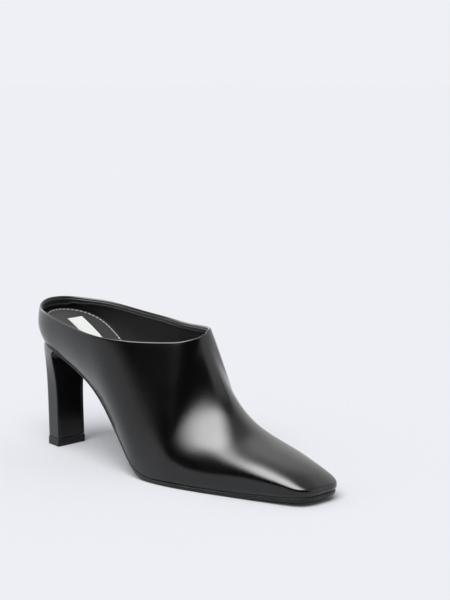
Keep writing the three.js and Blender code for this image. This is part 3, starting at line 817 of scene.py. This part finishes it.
def sock_edge(net):
    """Where the lining's inner face passes the sock's height, one point a column."""
    inner_face = lining_skins[1][net]
    edge_points = np.empty((len(inner_face), 3))
    for i, line in enumerate(inner_face):
        over = line[:, 2] - feather_height(line[:, 0]) - board_thickness(line[:, 0])
        k = max(int(np.argmax(over > 0)), 1)
        w = np.clip(over[k] / (over[k] - over[k - 1]), 0, 1)
        edge_points[i] = line[k] * (1 - w) + line[k - 1] * w
    return edge_points


sock_sides = [sock_edge(lining_l), sock_edge(lining_m)]
sock_loop = np.concatenate([sock_sides[0], sock_sides[1][::-1][1:-1]])
ahead = np.roll(sock_loop, -1, axis=0) - np.roll(sock_loop, 1, axis=0)
sock_inward = np.stack([-ahead[:, 1], ahead[:, 0]], axis=1)
sock_inward /= np.linalg.norm(sock_inward, axis=1)[:, None]
if np.sum(sock_inward * (np.array([100, 0]) - sock_loop[:, :2])) < 0:
    sock_inward = -sock_inward


def sock_height(x, y):
    """The top of the sock over any place in plan."""
    low, high = (np.interp(x, s[:, 0], s[:, 1]) for s in sock_sides)
    share = np.clip((y - (low + high) / 2) / np.maximum((high - low) / 2, 1), -1, 1)
    dish = SOCK_DISH * (1 - share ** 2) * soft_step((x - DISH_BACK) / DISH_BACK_RUN)
    dish = dish * soft_step((DISH_FRONT - x) / DISH_FRONT_RUN)
    return feather_height(x) + board_thickness(x) - dish


sock_columns = len(sock_sides[0])
sock_rings = []
for inset, sink in SOCK_ROLL:
    ring = sock_loop[:, :2] + sock_inward * inset
    sock_rings.append(np.column_stack([ring, sock_height(ring[:, 0], ring[:, 1]) + sink]))
under = sock_loop[:, :2] + sock_inward * BOARD_FOOT_INSET
sock_rings.insert(0, np.column_stack([under, feather_height(under[:, 0]) + BOARD_FOOT]))
SOCK_ACROSS = 22


def two_sides(ring):
    """A closed ring round the sock as its lateral and medial sides, both from back to toe."""
    toe = sock_columns - 1
    return ring[:sock_columns], np.concatenate([ring[:1], ring[:toe:-1], ring[toe:toe + 1]])


def bars_between(ring, height, count=SOCK_ACROSS):
    """Rows of points across a closed ring, from its lateral side to its medial side."""
    first, second = two_sides(ring)
    share = np.linspace(0, 1, count + 1)[None, :, None]
    rows = first[:, None] * (1 - share) + second[:, None] * share
    if height is not None:
        rows[:, 1:-1, 2] = height(rows[:, 1:-1, 0], rows[:, 1:-1, 1])
    return rows


def ring_sheet(rings):
    rows = np.array(rings)
    return np.concatenate([rows, rows[:, :1]], axis=1)


sock_top = bars_between(sock_rings[-1], sock_height)
sock_bottom = bars_between(sock_rings[0], None)
sock_points, (side_net, top_net, bottom_net) = merged([ring_sheet(sock_rings), sock_top,
                                                       sock_bottom])
sock_faces = quads(side_net) + quads(top_net, turned=True) + quads(bottom_net)
sock = make_piece("sock", sock_points, sock_faces, kid)
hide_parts("insole")


def border(sheet):
    """The outline of a grid of points, once round."""
    return np.concatenate([sheet[:, 0], sheet[-1, 1:], sheet[-2::-1, -1], sheet[0, -2:0:-1]])


def laid_on_sock(plan, thick, edge_thick):
    """A thin closed sheet on the sock over a grid of places in plan, thinner at its edge."""
    height = sock_height(plan[..., 0], plan[..., 1])
    proud = np.full(plan.shape[:2], thick)
    proud[-1] = proud[:, 0] = proud[:, -1] = proud[0] = edge_thick
    top, base = np.dstack([plan, height + proud]), np.dstack([plan, height - 0.1])
    points, (top_grid, base_grid, side_grid) = merged(
        [top, base, ring_sheet([border(base), border(top)])])
    return points, quads(top_grid) + quads(base_grid, turned=True) + quads(side_grid)


PAD_INSET = 2.6
PAD_THICK = 0.35
PAD_END = 120
PAD_ACROSS = 24
PAD_CROWDING = 0.15
pad_l, pad_m = two_sides(sock_loop[:, :2] + sock_inward * PAD_INSET)
pad_rows = pad_l[:, 0] < PAD_END
across_share = np.linspace(0, 1, PAD_ACROSS + 1)
across_share = (1 - PAD_CROWDING) * across_share + PAD_CROWDING * soft_step(across_share)
across_share = across_share[None, :, None]
pad_plan = pad_l[pad_rows][:, None] * (1 - across_share) + pad_m[pad_rows][:, None] * across_share
pad_points, pad_faces = laid_on_sock(pad_plan, PAD_THICK, PAD_THICK * 0.6)
pad_leather = leather("grey_pad_leather", (0.012, 0.012, 0.0126), (0.017, 0.017, 0.0176),
                      rough=(0.50, 0.60), pore=0.0007, bump=0.45, shine=0.35)
make_piece("sock_pad", pad_points, pad_faces, pad_leather)

row_l, row_m = two_sides(sock_loop[:, :2] + sock_inward * STITCH_INSET)
route = np.concatenate([row_l[::-1], row_m[1:]])
route = route[route[:, 0] < STITCH_END]
route_height = sock_height(route[:, 0], route[:, 1]) + PAD_THICK + STITCH_LIFT
route = np.column_stack([route, route_height])
stitch_at, stitch_way = walk(route, STITCH_LENGTH + STITCH_GAP)
stitch_up = np.tile([0.0, 0.0, 1.0], (len(stitch_at), 1))
thread = spun_thread("white_thread", (0.72, 0.72, 0.72), (0.90, 0.90, 0.89))
stitch_points, stitch_faces = stitch_row(stitch_at, stitch_way, stitch_up, STITCH_LENGTH,
                                         STITCH_THICK)
make_piece("sock_stitching", stitch_points, stitch_faces, thread)

# ---- Label ----
# A plain off-white woven label without lettering, cut from ribbon with its fine ribs running
# along it, and glued flat on the grey pad at the heel's seat.
LABEL_START, LABEL_LENGTH = 5.0, 42.0
LABEL_SIDES = (-2.0, 10.6)
LABEL_TURN = -0.06
LABEL_THICK = 0.3
LABEL_GRID = (43, 15)
label_x = np.linspace(LABEL_START, LABEL_START + LABEL_LENGTH, LABEL_GRID[0])
label_y = np.linspace(*LABEL_SIDES, LABEL_GRID[1])
label_plan = np.stack(np.meshgrid(label_x, label_y, indexing="ij"), axis=-1)
label_plan[..., 1] += (label_plan[..., 0] - LABEL_START) * LABEL_TURN
label_points, label_faces = laid_on_sock(label_plan, PAD_THICK + LABEL_THICK,
                                         PAD_THICK + LABEL_THICK * 0.6)
label_cloth, cloth, cloth_shader = new_material("woven_label", Roughness=0.6)
cloth_at = wire(cloth, "ShaderNodeTexCoord").outputs["Object"]
ribs = wire(cloth, "ShaderNodeTexWave", {"Vector": cloth_at, "Scale": 900.0, "Distortion": 1.5,
                                         "Detail": 1.0}, bands_direction="Y")
cloth_tone = toned(cloth, ribs.outputs["Fac"], (0.84, 0.86, 0.83), (0.93, 0.95, 0.92))
cloth.links.new(cloth_tone, cloth_shader.inputs["Base Color"])
cloth_relief = wire(cloth, "ShaderNodeBump", {"Strength": 0.25, "Distance": 0.00008,
                                              "Height": ribs.outputs["Fac"]})
cloth.links.new(cloth_relief.outputs["Normal"], cloth_shader.inputs["Normal"])
make_piece("label", label_points, label_faces, label_cloth)

# ---- Outsole ----
# A thin leather sole, stained black, with a rounded and burnished edge. It starts at the heel's
# lip and is cemented under the lasting edge, which leaves a fine groove all round.
GAP = 0.3
SOLE_THICK = 2.7
SHANK_THICK = 1.3
SHANK_END, SHANK_RUN = 88, 24
SOLE_REAR = 15
SOLE_STEPS, SOLE_ACROSS = 190, 26
TOE_CROWDING = 1.35
SOLE_EDGE = ((-1.3, 0.0), (-0.55, 0.03), (-0.1, 0.12), (0.2, 0.28), (0.38, 0.5), (0.4, 0.72),
             (0.3, 0.9), (0.05, 0.98), (-0.8, 1.0))


def feather_point(side, places, outset):
    """The feather edge in plan, moved outwards."""
    read_x, read_y = LAST_SIDES[side]["x"], LAST_SIDES[side]["y"]
    along_x = read_x(places + 0.002) - read_x(places - 0.002)
    along_y = read_y(places + 0.002) - read_y(places - 0.002)
    length = np.hypot(along_x, along_y)
    return np.stack([read_x(places) - along_y / length * side * outset,
                     read_y(places) + along_x / length * side * outset], axis=-1)


def sole_top(x):
    return feather_height(x) - GAP


def sole_bottom(x):
    thick = SHANK_THICK + (SOLE_THICK - SHANK_THICK) * soft_step((x - SHANK_END) / SHANK_RUN)
    return np.maximum(sole_top(x) - thick, 0)


lip = place_at(SOLE_REAR + GAP)
sole_places = lip + (1 - lip) * (1 - (1 - np.linspace(0, 1, SOLE_STEPS)) ** TOE_CROWDING)
sole_rings = []
for outset, level in SOLE_EDGE:
    first = feather_point(LATERAL, sole_places, outset)
    second = feather_point(MEDIAL, sole_places, outset)
    second[-1] = first[-1]
    ring = np.concatenate([first, second[::-1][1:]])
    low, high = sole_bottom(ring[:, 0]), sole_top(ring[:, 0])
    sole_rings.append(np.column_stack([ring, low + (high - low) * level]))


def sole_bars(ring, height, count=SOLE_ACROSS):
    """Rows across the sole, from its rear edge to the toe."""
    half = len(sole_places)
    first = ring[:half]
    second = np.concatenate([ring[half:][::-1], ring[half - 1:half]])
    share = np.linspace(0, 1, count + 1)[None, :, None]
    rows = first[:, None] * (1 - share) + second[:, None] * share
    rows[..., 2] = height(rows[..., 0])
    return rows


bottom_rows = sole_bars(sole_rings[0], sole_bottom)
top_rows = sole_bars(sole_rings[-1], sole_top)
rear_rows = np.stack([sole_bars(ring, lambda x, level=level: sole_bottom(x) + (
    sole_top(x) - sole_bottom(x)) * level)[0] for ring, (_, level) in zip(sole_rings, SOLE_EDGE)])
sole_points, (edge_net, base_net, cover_net, rear_net) = merged(
    [np.array(sole_rings), bottom_rows, top_rows, rear_rows])
sole_faces = quads(edge_net) + quads(base_net) + quads(cover_net, turned=True)
sole_faces += quads(rear_net, turned=True)
sole_leather = leather("stained_sole_leather", (0.0020, 0.0020, 0.0021), (0.0036, 0.0036, 0.0038),
                       rough=(0.34, 0.46), pore=0.0009, bump=0.35, shine=0.35)
outsole = make_piece("leather_sole", sole_points, sole_faces, sole_leather)
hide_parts("outsole")

# ---- Heel ----
# A block covered in the upper's leather. The cover is wrapped round from the back, and a breast
# flap with round top corners is let in over its ends, leaving a narrow border on each side.
TIP_HEIGHT = 5.3
BASE_BACK, BASE_FRONT = -7.9, 6.1
BASE_SIDES = {LATERAL: (-9.6, -12.4), MEDIAL: (9.0, 11.0)}
CORNER_BACK, CORNER_FRONT = 3.2, 0.8
BACK_FLARE, SIDE_FLARE, LIP_FLARE = 4, 5, 14
RAKE = 1.9
SEAT_INSET = 0.3
SEAT_POINTS = 400
FLAP_BORDER = 1.5
FLAP_SINK = 0.32
FLAP_CORNER = 4.0
FLAP_TOP_SHARE = 1.2
FLAP_EDGE = (-0.15, 0.30)
BREAST_STEPS, SIDE_STEPS, CORNER_STEPS = 30, 16, 8
BREAST_CROWDING = 0.6
CORNER_LEAN = 0.4


def block_outline(outset):
    """The block's section in plan, from the breast's middle round by the medial side."""
    corners = [
        (BASE_FRONT + outset, BASE_SIDES[MEDIAL][1] + outset, CORNER_FRONT),
        (BASE_BACK - outset, BASE_SIDES[MEDIAL][0] + outset, CORNER_BACK),
        (BASE_BACK - outset, BASE_SIDES[LATERAL][0] - outset, CORNER_BACK),
        (BASE_FRONT + outset, BASE_SIDES[LATERAL][1] - outset, CORNER_FRONT),
    ]
    arcs = []
    for i, (x, y, radius) in enumerate(corners):
        here = np.array([x, y])
        ends = []
        for j in (i - 1, (i + 1) % 4):
            way = np.array(corners[j][:2]) - here
            ends.append(here + way / np.linalg.norm(way) * radius)
        t = np.linspace(0, 1, CORNER_STEPS + 1)[:, None]
        arcs.append((1 - t) ** 2 * ends[0] + 2 * t * (1 - t) * here + t ** 2 * ends[1])
    outline = []
    for i, arc in enumerate(arcs):
        outline.extend(arc)
        stops = np.linspace(0, 1, (BREAST_STEPS if i == 3 else SIDE_STEPS) + 1)[1:-1]
        if i == 3:
            stops = soft_step(stops) * BREAST_CROWDING + stops * (1 - BREAST_CROWDING)
        outline.extend(arc[-1] + (arcs[(i + 1) % 4][0] - arc[-1]) * s for s in stops)
    outline = np.array(outline)
    off_breast = outline[:, 0] < BASE_FRONT + outset - 0.01
    from_middle = np.abs(outline[:, 1] - (corners[0][1] + corners[3][1]) / 2)
    start = np.argmin(np.where(off_breast, np.inf, from_middle))
    return np.roll(outline, -start, axis=0)


heel_base = block_outline(0)
girth = run_along(heel_base)
lip_place = place_at(SOLE_REAR)
share = np.linspace(0, 1, SEAT_POINTS)
seat_line = np.concatenate([
    feather_point(MEDIAL, lip_place * (1 - share), -SEAT_INSET),
    feather_point(LATERAL, lip_place * share[1:], -SEAT_INSET)])
corner_m = int(np.argmax(heel_base[:, 1] + heel_base[:, 0] * CORNER_LEAN))
corner_l = int(np.argmax(-heel_base[:, 1] + heel_base[:, 0] * CORNER_LEAN))
seat = np.empty_like(heel_base)
lip_m, lip_l = seat_line[0], seat_line[-1]
lip_middle = (lip_m + lip_l) / 2
front_m = np.arange(0, corner_m + 1)
seat[front_m] = lip_middle + (lip_m - lip_middle) * (front_m / corner_m)[:, None]
back = np.arange(corner_m, corner_l + 1)
back_share = (girth[back] - girth[corner_m]) / (girth[corner_l] - girth[corner_m])
seat_run = run_along(seat_line)
seat[back] = points_at(back_share * seat_run[-1], seat_run, seat_line)
front_l = np.arange(corner_l, len(heel_base))
seat[front_l] = lip_l + (lip_middle - lip_l) * (
    (front_l - corner_l) / (len(heel_base) - corner_l))[:, None]

HEEL_ROWS = 90
SEAT_CROWDING = 1.6
levels = 1 - (1 - np.linspace(0, 1, HEEL_ROWS + 1)) ** SEAT_CROWDING
base_z = TIP_HEIGHT + GAP
heel_rings = []
for height in levels:
    forward = seat[:, 0] > heel_base[:, 0]
    lean = np.where(forward, height ** LIP_FLARE, height ** BACK_FLARE)
    x = heel_base[:, 0] + (seat[:, 0] - heel_base[:, 0]) * lean - RAKE * height * (1 - lean)
    y = heel_base[:, 1] + (seat[:, 1] - heel_base[:, 1]) * height ** SIDE_FLARE
    z = base_z + (sole_top(x) - base_z) * height
    heel_rings.append(np.column_stack([x, y, z]))
heel_rings = np.array(heel_rings)
on_breast = np.zeros(len(heel_base), bool)
on_breast[:corner_m] = on_breast[corner_l + 1:] = True
for ring in heel_rings:
    side_gap = np.minimum(np.abs(ring[:, 1] - ring[corner_m, 1]),
                          np.abs(ring[:, 1] - ring[corner_l, 1])) - FLAP_BORDER
    top_gap = sole_top(ring[:, 0]) - ring[:, 2] - FLAP_BORDER * FLAP_TOP_SHARE
    round_off = np.hypot(np.maximum(FLAP_CORNER - side_gap, 0), np.maximum(FLAP_CORNER - top_gap, 0))
    inside = np.minimum(np.minimum(side_gap, top_gap), FLAP_CORNER - round_off)
    sunk = soft_step((inside - FLAP_EDGE[0]) / (FLAP_EDGE[1] - FLAP_EDGE[0]))
    ring[:, 0] -= np.where(on_breast, FLAP_SINK * sunk, 0)
heel_loop = np.concatenate([heel_rings, heel_rings[:, :1]], axis=1)


def ring_cap(ring):
    """A flat fill of a ring that starts at the middle of its front: rows of two points."""
    count = len(ring)
    half = count // 2
    first = ring[:half + 1]
    second = np.concatenate([ring[:1], ring[:count - half - 1:-1]])[:half + 1]
    return np.stack([first, second], axis=1)


heel_points, (heel_net, floor_net, roof_net) = merged(
    [heel_loop, ring_cap(heel_rings[0]), ring_cap(heel_rings[-1])])
heel_faces = quads(heel_net) + quads(floor_net) + quads(roof_net, turned=True)
heel = make_piece("covered_heel", heel_points, heel_faces, polished_calf)
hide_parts("heel")

# ---- Top piece ----
# A hard rubber lift pinned under the heel, a hair larger than the block and bevelled at its
# edges, with a fine seam where the two meet.
TIP_OUTSET = 0.3
TIP_ROWS = ((-0.35, 0.0), (-0.05, 0.12), (0.0, 0.4), (0.0, 4.7), (-0.08, 5.1), (-0.45, TIP_HEIGHT))
tip_rings = np.array([np.column_stack([block_outline(TIP_OUTSET + outset),
                                       np.full(len(heel_base), z)]) for outset, z in TIP_ROWS])
tip_points, (tip_net, tip_floor, tip_roof) = merged(
    [np.concatenate([tip_rings, tip_rings[:, :1]], axis=1), ring_cap(tip_rings[0]),
     ring_cap(tip_rings[-1])])
tip_faces = quads(tip_net) + quads(tip_floor) + quads(tip_roof, turned=True)
rubber = leather("hard_rubber", (0.002, 0.002, 0.002), (0.004, 0.004, 0.004),
                 rough=(0.36, 0.5), pore=0.0004, bump=0.3, shine=0.3)
top_piece = make_piece("rubber_top_piece", tip_points, tip_faces, rubber)
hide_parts("top_piece")
